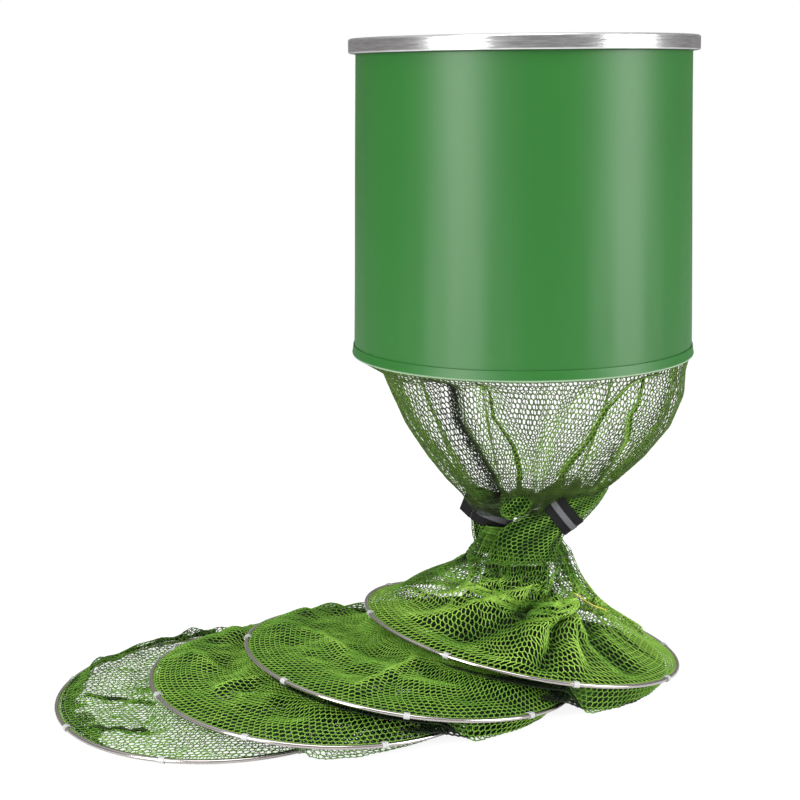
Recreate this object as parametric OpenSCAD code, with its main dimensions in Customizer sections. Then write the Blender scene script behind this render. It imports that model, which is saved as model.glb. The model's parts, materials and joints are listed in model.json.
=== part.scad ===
// Fishing keepnet: a coated sleeve with a metal mouth, a cinched net neck, and a
// concertina of net sections held open by four wire rings. Millimetres, +Z up.
// The origin is the centre of the last ring, on the ground that the net lies on.

/* [Mouth rim] */
// Outside radius of the rim band
rim_r = 204; // [190:1:225]
// Height of the rim's top edge above the ground
mouth_z = 778; // [740:1:860]
// Height of the rim band
rim_h = 17; // [14:0.5:26]
// Width of the rim channel, from its outside to its inside
rim_depth = 11; // [9:0.5:14]
// Metal thickness of the rim channel
rim_wall = 1.2; // [0.8:0.1:2]
// Radius of the rim's rounded edges
rim_edge_r = 3; // [2:0.25:4]
// Gap left at the butt joint behind the rim
rim_joint_gap = 0.5; // [0.2:0.1:2]
// Diameter of the rivets in the butt joint
rivet_d = 3; // [2:0.25:4]

/* [Sleeve] */
// Thickness of the coated fabric
sleeve_wall = 1.2; // [0.8:0.1:2.5]
// Height of the hem hoop above the ground
hem_z = 410; // [380:1:470]
// Radius of the hem hoop, at the middle of its wire
hem_r = 202; // [194:1:215]
// Diameter of the hem hoop's wire
hem_wire_d = 4; // [3:0.25:6]
// Thickness of the tape folded round the hem hoop
hem_tape = 0.9; // [0.5:0.1:1.5]
// Height of the hem tape above the hoop
hem_tape_h = 8; // [6:0.5:16]
// Width of the welded lap seam at the back
seam_w = 14; // [8:1:24]

/* [Rings] */
// Radius of the rings, at the middle of their wire
ring_r = 200; // [190:1:215]
// Diameter of the ring wire
wire_d = 5; // [4:0.25:6]
// Diameter of the lacing cord inside each ring
lacing_d = 1.6; // [1.2:0.1:2.4]
// Ties on each ring
clips_per_ring = 8; // [6:1:12]
// Width of a tie, along the ring
clip_w = 7; // [5:0.5:10]
// Thickness of a tie's wall
clip_wall = 1; // [0.6:0.1:1.4]

/* [How the rings lie] */
// Third ring's centre, measured from the last ring's along X
ring_3_x = 115; // [95:1:135]
// Third ring's centre, along Y
ring_3_y = -9; // [-30:1:10]
// Third ring's lean
ring_3_lean = 4.8; // [4:0.1:7]
// Second ring's centre, along X
ring_2_x = 225; // [210:1:240]
// Second ring's centre, along Y
ring_2_y = 21; // [0:1:40]
// Second ring's lean
ring_2_lean = 8.9; // [8:0.1:10]
// First ring's centre, along X
ring_1_x = 367.5; // [355:0.5:380]
// First ring's centre, along Y
ring_1_y = 98; // [80:1:115]
// First ring's lean
ring_1_lean = 11.7; // [11:0.1:13]
// Collar's axis, along X
collar_x = 365; // [350:1:380]
// Collar's axis, along Y
collar_y = 76; // [60:1:90]

/* [Net] */
// Thickness that a net panel takes up
net_t = 1.2; // [0.8:0.1:2]
// Diameter of the flat base net's cord
base_cord = 1.2; // [0.8:0.1:2]
// Cells across the flat base net
base_cells = 17; // [9:2:17]
// How far a net section domes up over the ring below it
net_dome = 15; // [8:1:20]
// How far a net section tucks in under the ring above it
net_tuck = 90; // [60:1:110]
// Number of pleats in the neck
neck_pleats = 14; // [10:2:18]
// Depth of the pleats where they are drawn together
pleat_depth = 7; // [3:0.5:9]

/* [Straps] */
// Width of a strap
strap_w = 28; // [20:1:32]
// Thickness of a strap
strap_t = 2.2; // [1.6:0.1:3]
// Width of the stripe woven down a strap's middle
stripe_w = 7; // [4:0.5:10]
// Length of a strap's free tab
tab_l = 30; // [20:1:36]

/* [Hidden] */

// Clearances: between soft pieces and their neighbours, between a net's edge and a
// ring's ties, between seated pieces and inside a tie.
soft_gap = 0.4;
net_gap = 0.5;
seat_gap = 0.1;
clip_gap = 0.15;

// Fineness of turned pieces, of the rings' wire and of tubes of net.
round_fn = 96;
wire_fn = 24;
arc_steps = 6;

// Rim channel, from outside to inside.
rim_in_r = rim_r - rim_depth;
rim_inner_wall_h = rim_h * 0.75;
rim_lip_r = 2;
liner_t = 1.5;
liner_top = rim_wall + 1;
gasket_d = 3;
splice_t = 1.2;
splice_deg = 18;
splice_h = rim_h - 2 * rim_edge_r - 1;
rivet_degs = [-6.5, -2.5, 2.5, 6.5];
back_deg = 90;

// Sleeve: its inside rests on the channel's inner wall.
sleeve_top_r = rim_in_r + rim_wall + seat_gap;
sleeve_foot_r = hem_r - sleeve_wall / 2;
sleeve_top_z = mouth_z - rim_edge_r - seat_gap;
sleeve_bend_z = mouth_z - rim_h - 3;
sleeve_foot_z = hem_z + hem_wire_d / 2 + seat_gap;
hem_half = hem_wire_d / 2 + seat_gap;
hem_leg = sleeve_wall / 2 + seat_gap;
hem_arc_from = 150;
hem_arc_to = 390;

// Rings 1 to 4: centre, lean, and the side towards which each leans.
ring_4_z = wire_d / 2 + clip_gap + clip_wall;
function ring_low(lean) = ring_r * sin(lean) + ring_4_z;
RINGS = [
    [ring_1_x, ring_1_y, ring_low(ring_1_lean), ring_1_lean, 18, 14],
    [ring_2_x, ring_2_y, ring_low(ring_2_lean), ring_2_lean, 19, 178.5],
    [ring_3_x, ring_3_y, ring_low(ring_3_lean), ring_3_lean, 13, 159],
    [0, 0, ring_4_z, 0, 0, 211]];

// The lacing cord lies just inside the wire, and a tie's slot holds both.
lacing_r = ring_r - wire_d / 2 - seat_gap - lacing_d / 2;
clip_half = wire_d / 2 + clip_gap;
clip_in_r = lacing_r - lacing_d / 2 - clip_gap + clip_half;
clip_mid_r = (ring_r + clip_in_r) / 2;
clip_flat = (ring_r - clip_in_r) / 2;

// Fineness of the soft solids: points round them and rows along them.
net_around = 40;
section_rows = 9;
lower_rows = 7;
net_step = 0.02;
neck_around = neck_pleats * 5;
gather_around = 24;
floor_clear = 1;

// Upper neck, top to bottom: height, half width, half depth and centre along X. The
// heights are shares of the neck's own height, and the widths go in from the hem.
neck_top_z = hem_z - hem_half - hem_tape - soft_gap;
neck_upper_low_z = 228;
function upper_row(share, in_x, in_y, x) =
    [mix(neck_upper_low_z, neck_top_z, share), hem_r - in_x, hem_r - in_y, x];
UPPER = [
    upper_row(1, 1, 1, 0),
    upper_row(0.91, 18, 18, 12),
    upper_row(0.74, 25, 30, 18),
    upper_row(0.52, 42, 56, 20),
    upper_row(0.29, 70, 90, 18),
    upper_row(0.12, 94, 120, 18),
    upper_row(0, 112, 146, 18)];

// Lower neck: the oval that it starts from, and how it flares to the first ring. It
// stays low over the ring's raised side and falls straight to its low side.
neck_lower_top_z = 154;
lower_top_a = 64;
lower_top_b = 44;
lower_top_x = -3;
lower_foot_turn = 155;
lower_spread = 1.55;
lower_rise_raised = 1.7;
lower_rise_low = 1.05;
lower_folds = 9;
lower_fold = 6;
lower_fold_twist = 40;

// Net sections: how a net leaves the tie below and comes to the tie above, how far
// inside the ring above it hangs, the share of its length that climbs back to that ring,
// its height between the two rings' planes, and the strips over which it goes in under
// the ring above and sinks to the ground outside the ring below.
section_low_turn = 165;
section_high_turn = -145;
section_inside = 12;
section_climb = 2 / 9;
section_share_low = 0.42;
section_share_high = 0.86;
section_dome_run = 0.35;
section_leave = 1 / 7;
section_cover = 12;
section_sink_from = 6;
section_sink = 25;

// Gathered lobes: centre, elevation of the axis, half width and half depth. Each lobe's
// head lies inside the upper neck's deepest pleats, and the right lobe's foot inside the
// lower neck.
head_z = 238;
head_a = 15;
head_b = 10;
function head_x(side) = column(UPPER, 3, head_z)
    + side * (column(UPPER, 1, head_z) - net_t - pleat_depth - soft_gap - head_a);
foot_b = 21;
foot_y = -(lower_top_b - net_t / 2 - soft_gap - foot_b);
RIGHT_LOBE = [
    [[head_x(1), 0, head_z], 90, head_a, head_b],
    [[79, -5.5, 226], 58, 17.6, 14.6],
    [[61.8, -16, 217.2], 38, 21, 17],
    [[38.2, -16, 198.8], 38, 21, 17],
    [[23, -18, 186], 42, 28, 19],
    [[8, -20, 168], 62, 40, 20],
    [[-2, foot_y, 150], 90, 42, foot_b]];
LEFT_LOBE = [
    [[head_x(-1), 0, head_z], 90, head_a, head_b],
    [[-44, 2, 228], 95, 14, 11],
    [[-28.1, 20, 210.1], 69, 23, 14],
    [[-37.9, 20, 183.9], 69, 23, 14],
    [[-34, 20, 170], 82, 25, 14],
    [[-24.5, 20.8, 150], 90, 29, 15]];
FRONT_LOBE = [
    [[-27, -16, 212.8], 15, 8, 5],
    [[-19, -19, 216.8], 15, 15, 12],
    [[-5, -20, 221.8], 18, 18, 15],
    [[5, -20, 227.8], 24, 15, 13],
    [[15, -19, 232.8], 34, 8, 7]];

// Straps: clearance over the net, thickness of a tab and how far the left tab stands off.
strap_gap = soft_gap;
stripe_t = 0.5;
stripe_from = 190;
stripe_to = 350;
tab_t = strap_t * 0.7;
tab_stand_deg = 112;

// ---------------------------------------------------------------- helpers

// Points on an arc, in the plane of a profile.
function arc(c, r, from, to, steps = arc_steps) =
    [for (i = [0:steps]) c + r * [cos(from + (to - from) * i / steps),
        sin(from + (to - from) * i / steps)]];

function unit(v) = v / norm(v);
function mix(a, b, t) = a + (b - a) * t;
function smooth(t) = let (c = max(0, min(1, t))) c * c * (3 - 2 * c);

// A column of a table with a height in its first column, read at height z.
function column(table, k, z) = lookup(z, [for (row = table) [row[0], row[k]]]);

// Turns a direction of a ring's own plane into the keepnet's frame.
function leaned(p, lean, side) =
    let (u = p[0] * cos(side) + p[1] * sin(side),
         w = -p[0] * sin(side) + p[1] * cos(side),
         a = u * cos(lean) + p[2] * sin(lean),
         h = -u * sin(lean) + p[2] * cos(lean))
    [a * cos(side) - w * sin(side), a * sin(side) + w * cos(side), h];
function in_plane(ring, out, up, deg) =
    leaned([out * cos(deg), out * sin(deg), up], ring[3], ring[4]);

// Where a net meets a ring, just clear of its ties: turn 0 is outside the wire, 90 above.
function net_edge(ring, deg, turn) =
    let (reach = clip_half + clip_wall + net_gap)
    [ring[0], ring[1], ring[2]]
    + in_plane(ring, clip_mid_r + (clip_flat + reach) * cos(turn), reach * sin(turn), deg);

module in_ring(ring)
    translate([ring[0], ring[1], ring[2]])
        rotate([0, 0, ring[4]])
            rotate([0, ring[3], 0])
                rotate([0, 0, -ring[4]])
                    children();

module on_collar() translate([collar_x, collar_y, 0]) children();

// Height of a ring's plane over a point, and the point's distance from its centre.
function plane_z(ring, p) = ring[2] - tan(ring[3])
    * ((p[0] - ring[0]) * cos(ring[4]) + (p[1] - ring[1]) * sin(ring[4]));
function away(ring, p) = norm([p[0] - ring[0], p[1] - ring[1]]);

// Rows of points on a tube of net, a given distance out of its middle surface. The tube
// starts at a ring, and its corners lie at that ring's ties.
function clamped(t) = max(0, min(1, t));
function out_of(middle, t, deg) = unit(cross(
    middle(t, deg + 1) - middle(t, deg - 1),
    middle(clamped(t + net_step), deg) - middle(clamped(t - net_step), deg)));
function tube_face(middle, ring, rows, out) =
    [for (i = [0:rows]) [for (k = [0:net_around - 1])
        let (t = i / rows, deg = ring[5] + k * 360 / net_around)
        middle(t, deg) + out * out_of(middle, t, deg)]];

module tube_of_net(ring, rows, middle)
    sheet(tube_face(middle, ring, rows, net_t / 2), tube_face(middle, ring, rows, -net_t / 2));

// A closed sheet between two nets of points, rows from one open end to the other.
module sheet(outside, inside) {
    rows = len(outside);
    n = len(outside[0]);
    all_points = [for (row = outside) for (p = row) p, for (row = inside) for (p = row) p];
    skip = rows * n;
    function at(layer, row, k) = layer * skip + row * n + k % n;
    polyhedron(all_points, [
        for (row = [0:rows - 2]) for (k = [0:n - 1]) each [
            [at(0, row, k), at(0, row, k + 1), at(0, row + 1, k + 1)],
            [at(0, row, k), at(0, row + 1, k + 1), at(0, row + 1, k)],
            [at(1, row, k), at(1, row + 1, k + 1), at(1, row, k + 1)],
            [at(1, row, k), at(1, row + 1, k), at(1, row + 1, k + 1)]],
        for (k = [0:n - 1]) each [
            [at(0, 0, k), at(1, 0, k + 1), at(0, 0, k + 1)],
            [at(0, 0, k), at(1, 0, k), at(1, 0, k + 1)],
            [at(0, rows - 1, k), at(0, rows - 1, k + 1), at(1, rows - 1, k + 1)],
            [at(0, rows - 1, k), at(1, rows - 1, k + 1), at(1, rows - 1, k)]]]);
}

// A closed bundle through rows of points, with a point in the middle of each end.
module bundle(rows_of_points, first, last) {
    rows = len(rows_of_points);
    n = len(rows_of_points[0]);
    all_points = [for (row = rows_of_points) for (p = row) p, first, last];
    function at(row, k) = row * n + k % n;
    polyhedron(all_points, [
        for (row = [0:rows - 2]) for (k = [0:n - 1]) each [
            [at(row, k), at(row, k + 1), at(row + 1, k + 1)],
            [at(row, k), at(row + 1, k + 1), at(row + 1, k)]],
        for (k = [0:n - 1]) each [
            [rows * n, at(0, k + 1), at(0, k)],
            [rows * n + 1, at(rows - 1, k), at(rows - 1, k + 1)]]]);
}

// ----------------------------------------------------------------- collar

module rim_profile() {
    e = rim_edge_r;
    i = rim_edge_r - rim_wall;
    l = rim_lip_r;
    polygon(concat(
        arc([rim_r - l, -rim_h + l], l, -90, 0),
        arc([rim_r - e, -e], e, 0, 90),
        arc([rim_in_r + e, -e], e, 90, 180),
        [[rim_in_r, -rim_inner_wall_h], [rim_in_r + rim_wall, -rim_inner_wall_h]],
        arc([rim_in_r + e, -e], i, 180, 90),
        arc([rim_r - e, -e], i, 90, 0),
        arc([rim_r - l, -rim_h + l], l - rim_wall, 0, -90)));
}

module rivet_holes(d) {
    for (deg = rivet_degs)
        rotate([0, 0, back_deg + deg])
            translate([rim_r - rim_wall - splice_t - 2, 0, mouth_z - rim_h / 2])
                rotate([0, 90, 0])
                    cylinder(h = rim_wall + splice_t + 4, d = d, $fn = wire_fn);
}

module rim_band() {
    color([0.80, 0.81, 0.82])
    on_collar()
    difference() {
        translate([0, 0, mouth_z])
            rotate_extrude($fn = round_fn)
                rim_profile();
        rotate([0, 0, back_deg])
            translate([rim_in_r - 1, -rim_joint_gap / 2, mouth_z - rim_h - 1])
                cube([rim_depth + 2, rim_joint_gap, rim_h + 2]);
        rivet_holes(rivet_d + 2 * seat_gap);
    }
}

module rim_liner() {
    color([0.55, 0.56, 0.57])
    on_collar()
    translate([0, 0, mouth_z - rim_inner_wall_h])
        rotate_extrude($fn = round_fn)
            translate([sleeve_top_r + sleeve_wall + seat_gap, 0])
                square([liner_t, rim_inner_wall_h - liner_top]);
}

module rim_splice() {
    color([0.60, 0.61, 0.62])
    on_collar()
    difference() {
        rotate([0, 0, back_deg - splice_deg / 2])
            translate([0, 0, mouth_z - rim_h / 2 - splice_h / 2])
                rotate_extrude(angle = splice_deg, $fn = round_fn)
                    translate([rim_r - rim_wall - seat_gap - splice_t, 0])
                        square([splice_t, splice_h]);
        rivet_holes(rivet_d + 2 * seat_gap);
    }
}

// Flush rivets: a shank through both walls and a set head inside the channel.
module rim_rivets() {
    inside = rim_r - rim_wall - seat_gap - splice_t;
    color([0.70, 0.71, 0.72])
    on_collar()
    for (deg = rivet_degs)
        rotate([0, 0, back_deg + deg])
            translate([inside - 1 - seat_gap, 0, mouth_z - rim_h / 2])
                rotate([0, 90, 0]) {
                    cylinder(h = rim_r - inside + 1, d = rivet_d, $fn = wire_fn);
                    cylinder(h = 1, d = rivet_d * 1.6, $fn = wire_fn);
                }
}

module rim_gasket() {
    color([0.10, 0.14, 0.10])
    on_collar()
    translate([0, 0, mouth_z - rim_h + gasket_d / 4])
        rotate_extrude($fn = round_fn)
            translate([sleeve_top_r + sleeve_wall + seat_gap + gasket_d / 2, 0])
                circle(d = gasket_d, $fn = wire_fn);
}

module sleeve() {
    tape_top_z = hem_z + hem_tape_h + hem_half;
    color([0.25, 0.52, 0.27])
    on_collar()
    rotate_extrude($fn = round_fn)
        polygon([
            [sleeve_top_r, sleeve_top_z],
            [sleeve_top_r, sleeve_bend_z],
            [sleeve_foot_r, tape_top_z],
            [sleeve_foot_r, sleeve_foot_z],
            [sleeve_foot_r + sleeve_wall, sleeve_foot_z],
            [sleeve_foot_r + sleeve_wall, tape_top_z],
            [sleeve_top_r + sleeve_wall, sleeve_bend_z],
            [sleeve_top_r + sleeve_wall, sleeve_top_z]]);
}

// A strip of the same fabric, welded over the sleeve's ends.
module sleeve_seam() {
    seam_deg = seam_w / hem_r * 180 / PI;
    lap = sleeve_wall + seat_gap;
    top = mouth_z - rim_h - gasket_d;
    foot = hem_z + hem_tape_h + hem_half + seat_gap;
    color([0.22, 0.47, 0.24])
    on_collar()
    rotate([0, 0, back_deg - seam_deg / 2])
        rotate_extrude(angle = seam_deg, $fn = round_fn)
            polygon([
                [sleeve_top_r + lap, top],
                [sleeve_top_r + lap, sleeve_bend_z],
                [sleeve_foot_r + lap, foot],
                [sleeve_foot_r + lap + sleeve_wall / 2, foot],
                [sleeve_top_r + lap + sleeve_wall / 2, sleeve_bend_z],
                [sleeve_top_r + lap + sleeve_wall / 2, top]]);
}

module hem_hoop() {
    color([0.62, 0.64, 0.62])
    on_collar()
    translate([0, 0, hem_z])
        rotate_extrude($fn = round_fn)
            translate([hem_r, 0])
                circle(d = hem_wire_d, $fn = wire_fn);
}

// Tape folded under the hoop, with both legs drawn in to the sleeve's foot.
module hem_binding() {
    o = hem_half + hem_tape;
    color([0.42, 0.55, 0.42])
    on_collar()
    translate([0, 0, hem_z])
        rotate_extrude($fn = round_fn)
            translate([hem_r, 0])
                polygon(concat(
                    [[-hem_leg - hem_tape, hem_half + hem_tape_h]],
                    arc([0, 0], o, hem_arc_from, hem_arc_to, 2 * arc_steps),
                    [[hem_leg + hem_tape, hem_half + hem_tape_h],
                     [hem_leg, hem_half + hem_tape_h]],
                    arc([0, 0], hem_half, hem_arc_to, hem_arc_from, 2 * arc_steps),
                    [[-hem_leg, hem_half + hem_tape_h]]));
}

// ------------------------------------------------------------------- neck

// A point of the upper neck, pushed in by depth: height z, bearing deg.
function pleat(z, deg) =
    let (share = 1 - (z - neck_upper_low_z) / (neck_top_z - neck_upper_low_z))
    pleat_depth * share * (1 - cos(neck_pleats * deg)) / 2;
function upper_point(z, deg, depth) =
    let (a = column(UPPER, 1, z) - pleat(z, deg) - depth,
         b = column(UPPER, 2, z) - pleat(z, deg) - depth)
    [column(UPPER, 3, z) + a * cos(deg), b * sin(deg), z];

module neck_upper_net() {
    heights = [for (row = UPPER) row[0]];
    function face(depth) = [for (z = heights)
        [for (k = [0:neck_around - 1]) upper_point(z, k * 360 / neck_around, depth)]];
    color([0.35, 0.55, 0.20])
    on_collar() sheet(face(0), face(net_t));
}

// One row of a lobe: an oval square to an axis that rises at an angle.
function lobe_row(station) =
    let (e = station[1])
    [for (k = [0:gather_around - 1]) let (t = k * 360 / gather_around)
        station[0] + station[2] * cos(t) * [sin(e), 0, -cos(e)]
        + station[3] * sin(t) * [0, 1, 0]];

module lobe(stations) {
    color([0.30, 0.50, 0.16])
    on_collar()
    bundle([for (s = stations) lobe_row(s)], stations[0][0], stations[len(stations) - 1][0]);
}

module neck_gather_right() lobe(RIGHT_LOBE);
module neck_gather_left() lobe(LEFT_LOBE);
module neck_gather_front() lobe(FRONT_LOBE);

// The lower neck flares from the waist to the first ring. Share t runs up it.
function lower_middle(t, deg) =
    let (foot = net_edge(RINGS[0], deg, lower_foot_turn),
         top = [collar_x + lower_top_x + lower_top_a * cos(deg),
                collar_y + lower_top_b * sin(deg), neck_lower_top_z],
         spread = pow(1 - t, lower_spread),
         low_side = (1 + cos(deg - RINGS[0][4])) / 2,
         rise = pow(t, mix(lower_rise_raised, lower_rise_low, low_side)),
         fold = lower_fold * sin(180 * t) * cos(lower_folds * (deg + lower_fold_twist * t)))
    [mix(top[0], foot[0], spread) + fold * cos(deg),
     mix(top[1], foot[1], spread) + fold * sin(deg),
     mix(foot[2], top[2], rise)];

module neck_lower_net() {
    color([0.42, 0.68, 0.16])
    tube_of_net(RINGS[0], lower_rows, function (t, deg) lower_middle(t, deg));
}

// ----------------------------------------------------------------- straps

// Outline of a band round an oval, between two thicknesses, from one bearing to another.
module band_outline(a, b, inner, outer, from, to) {
    steps = ceil(abs(to - from) / 7.5);
    function edge(out, i) = let (t = from + (to - from) * i / steps)
        [(a + out) * cos(t), (b + out) * sin(t)];
    polygon(concat([for (i = [0:steps]) edge(outer, i)],
        [for (i = [steps:-1:0]) edge(inner, i)]));
}

// Places a strap's flat outline square to a lobe, halfway between two of its rows.
module round_lobe(stations) {
    c = (stations[2][0] + stations[3][0]) / 2;
    on_collar()
    translate(c)
        rotate([0, 90 - stations[2][1], 0])
            children();
}

module strap_band(stations) {
    a = stations[2][2] + strap_gap;
    b = stations[2][3] + strap_gap;
    color([0.06, 0.06, 0.07])
    round_lobe(stations)
        translate([0, 0, -strap_w / 2])
            linear_extrude(height = strap_w)
                difference() {
                    band_outline(a, b, -a, strap_t, 0, 360);
                    band_outline(a, b, -a, 0, 0, 360);
                }
}

module strap_stripe(stations) {
    a = stations[2][2] + strap_gap;
    b = stations[2][3] + strap_gap;
    color([0.45, 0.46, 0.48])
    round_lobe(stations)
        translate([0, 0, -stripe_w / 2])
            linear_extrude(height = stripe_w)
                band_outline(a, b, strap_t + seat_gap, strap_t + seat_gap + stripe_t,
                    stripe_from, stripe_to);
}

module strap_right_band() strap_band(RIGHT_LOBE);
module strap_left_band() strap_band(LEFT_LOBE);
module strap_right_stripe() strap_stripe(RIGHT_LOBE);
module strap_left_stripe() strap_stripe(LEFT_LOBE);

// The free end of the right strap, pressed flat on its band at the back.
module strap_right_tab() {
    a = RIGHT_LOBE[2][2] + strap_gap;
    b = RIGHT_LOBE[2][3] + strap_gap;
    turn = tab_l / a * 180 / PI;
    color([0.06, 0.06, 0.07])
    round_lobe(RIGHT_LOBE)
        translate([0, 0, -strap_w / 2])
            linear_extrude(height = strap_w)
                band_outline(a, b, strap_t + soft_gap, strap_t + soft_gap + tab_t,
                    back_deg - turn / 2, back_deg + turn / 2);
}

// The free end of the left strap, which stands off its band at the outer side.
module strap_left_tab() {
    a = LEFT_LOBE[2][2] + strap_gap + strap_t;
    color([0.06, 0.06, 0.07])
    round_lobe(LEFT_LOBE)
        translate([-a - soft_gap, 0, -strap_w / 2])
            rotate([0, 0, tab_stand_deg])
                cube([tab_l, tab_t, strap_w]);
}

// ------------------------------------------------------------------ rings

module ring_wire(k) {
    color([0.72, 0.71, 0.69])
    in_ring(RINGS[k])
        rotate_extrude($fn = round_fn)
            translate([ring_r, 0])
                circle(d = wire_d, $fn = wire_fn);
}

module ring_lacing(k) {
    color([0.55, 0.72, 0.30])
    in_ring(RINGS[k])
        rotate_extrude($fn = round_fn)
            translate([lacing_r, 0])
                circle(d = lacing_d, $fn = 16);
}

// A tie is a flat loop round the wire and the cord beside it.
module tie_outline(grow) {
    half = clip_half + grow;
    translate([ring_r, 0]) circle(r = half, $fn = wire_fn);
    translate([clip_in_r, 0]) circle(r = half, $fn = wire_fn);
    translate([clip_in_r, -half]) square([ring_r - clip_in_r, 2 * half]);
}

module ring_clips(k) {
    color([0.90, 0.91, 0.90])
    in_ring(RINGS[k])
        for (i = [0:clips_per_ring - 1])
            rotate([0, 0, RINGS[k][5] + i * 360 / clips_per_ring])
                translate([0, clip_w / 2, 0])
                    rotate([90, 0, 0])
                        linear_extrude(height = clip_w)
                            difference() {
                                tie_outline(clip_wall);
                                tie_outline(0);
                            }
}

// --------------------------------------------------------------- sections

// The net between two rings. It leaves the ring below inwards, tucks in under the ring
// above, comes back out over the ring below and climbs to the ring above from inside.
// Share s runs up to the foot of the climb.
function section_laid(low, high, a, foot, out, s) =
    let (p = mix(a, foot, s) - net_tuck * sin(180 * s) * out,
         low_z = plane_z(low, p),
         leave = min(1, s / section_leave),
         packed = leave * mix(section_share_low, section_share_high, s) * (plane_z(high, p) - low_z),
         domed = net_dome * (1 - pow(1 - min(1, s / section_dome_run), 2)),
         under = smooth((ring_r + section_cover - away(high, p)) / (2 * section_cover)),
         at_tie = (1 - leave) * (a[2] - plane_z(low, a)),
         laid = low_z + at_tie + mix(min(domed, packed), packed, under),
         sink = smooth((away(low, p) - ring_r - section_sink_from) / section_sink),
         ground = floor_clear + net_t / 2)
    [p[0], p[1], max(ground, mix(laid, ground, sink))];

function section_middle(low, high, t, deg) =
    let (out = [cos(deg), sin(deg), 0],
         a = net_edge(low, deg, section_low_turn),
         d = net_edge(high, deg, section_high_turn),
         laid_share = 1 - section_climb,
         laid = section_laid(low, high, a, d - section_inside * out, out, min(1, t / laid_share)))
    mix(laid, d, max(0, (t - laid_share) / section_climb));

module net_section(k) {
    low = RINGS[k + 1];
    color([0.40, 0.66, 0.15])
    tube_of_net(low, section_rows, function (t, deg) section_middle(low, RINGS[k], t, deg));
}

// The flat net that closes the last ring: six-sided cells in a bound edge.
module base_net() {
    tie = clip_half + clip_wall;
    edge_r = clip_in_r - sqrt(tie * tie - pow(ring_4_z - base_cord, 2)) - soft_gap;
    pitch = 2 * edge_r / base_cells;
    cell_r = (pitch - base_cord) / sqrt(3);
    reach = ceil(base_cells / 2) + 1;
    color([0.38, 0.62, 0.16])
    linear_extrude(height = base_cord)
        difference() {
            circle(r = edge_r, $fn = round_fn);
            intersection() {
                circle(r = edge_r - 2 * base_cord, $fn = round_fn);
                for (row = [-reach - 1:reach + 1]) for (col = [-reach - 1:reach]) {
                    x = (col + 0.5 + (abs(row) % 2) / 2) * pitch;
                    y = row * pitch * sqrt(3) / 2;
                    if (norm([x, y]) < edge_r - pitch * 0.3)
                        translate([x, y]) rotate([0, 0, 30]) circle(r = cell_r, $fn = 6);
                }
            }
        }
}

rim_band();
rim_liner();
rim_splice();
rim_rivets();
rim_gasket();
sleeve();
sleeve_seam();
hem_hoop();
hem_binding();
neck_upper_net();
neck_gather_right();
neck_gather_left();
neck_gather_front();
neck_lower_net();
strap_right_band();
strap_right_stripe();
strap_right_tab();
strap_left_band();
strap_left_stripe();
strap_left_tab();
ring_wire(0);  // ring_1
ring_wire(1);  // ring_2
ring_wire(2);  // ring_3
ring_wire(3);  // ring_4
ring_lacing(0);  // lacing_1
ring_lacing(1);  // lacing_2
ring_lacing(2);  // lacing_3
ring_lacing(3);  // lacing_4
ring_clips(0);  // clips_1
ring_clips(1);  // clips_2
ring_clips(2);  // clips_3
ring_clips(3);  // clips_4
net_section(0);  // net_section_1
net_section(1);  // net_section_2
net_section(2);  // net_section_3
base_net();
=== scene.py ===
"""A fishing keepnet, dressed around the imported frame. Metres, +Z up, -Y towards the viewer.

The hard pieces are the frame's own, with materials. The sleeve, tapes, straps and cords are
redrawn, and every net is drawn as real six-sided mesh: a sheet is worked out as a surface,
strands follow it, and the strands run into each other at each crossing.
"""

import json
import math

import bmesh
import bpy
import numpy as np
from mathutils import Matrix


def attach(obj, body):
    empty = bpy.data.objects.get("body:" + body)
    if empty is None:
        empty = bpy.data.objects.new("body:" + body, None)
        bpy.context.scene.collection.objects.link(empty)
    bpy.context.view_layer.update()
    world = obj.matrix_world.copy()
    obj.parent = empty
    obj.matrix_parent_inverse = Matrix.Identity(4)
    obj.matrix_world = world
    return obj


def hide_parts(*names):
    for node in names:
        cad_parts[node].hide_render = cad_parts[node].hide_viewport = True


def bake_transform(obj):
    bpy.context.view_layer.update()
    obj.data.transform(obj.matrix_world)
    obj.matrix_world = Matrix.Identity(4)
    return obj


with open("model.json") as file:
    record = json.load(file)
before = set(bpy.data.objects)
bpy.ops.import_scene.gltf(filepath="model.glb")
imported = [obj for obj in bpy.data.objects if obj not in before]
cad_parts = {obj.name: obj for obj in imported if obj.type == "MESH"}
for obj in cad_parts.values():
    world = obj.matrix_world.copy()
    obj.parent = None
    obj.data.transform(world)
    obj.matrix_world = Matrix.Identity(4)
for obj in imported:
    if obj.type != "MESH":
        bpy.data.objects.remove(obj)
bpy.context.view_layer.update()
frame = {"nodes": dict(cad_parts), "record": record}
nodes_of_frame = frame["nodes"]

# ---------- driving sizes

RING_R = 0.200
LACING_R = 0.1966
RING_REST_Z = 0.00365
# Rings 1 to 4: centre along X and Y, lean and the bearing it leans towards, in degrees.
RING_PLACES = [(0.3675, 0.098, 11.7, 18), (0.225, 0.021, 8.9, 19), (0.115, -0.009, 4.8, 13), (0, 0, 0, 0)]
COLLAR = np.array([0.365, 0.076, 0.0])
HEM_Z = 0.410
MESH_PITCH = 0.0078
STRAND = 0.00084
FINE_STRAND = 0.00060
NECK_STRAND = 0.00071

# ---------- camera

CAMERA_AT = (0.217, -1.834, 0.737)
CAMERA_DOWN = 11.5
CAMERA_ROLL = -0.63
SENSOR = 36.0
LENS = 72.0


def placed(name, data):
    """A new object in the scene."""
    obj = bpy.data.objects.new(name, data)
    bpy.context.collection.objects.link(obj)
    return obj


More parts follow.
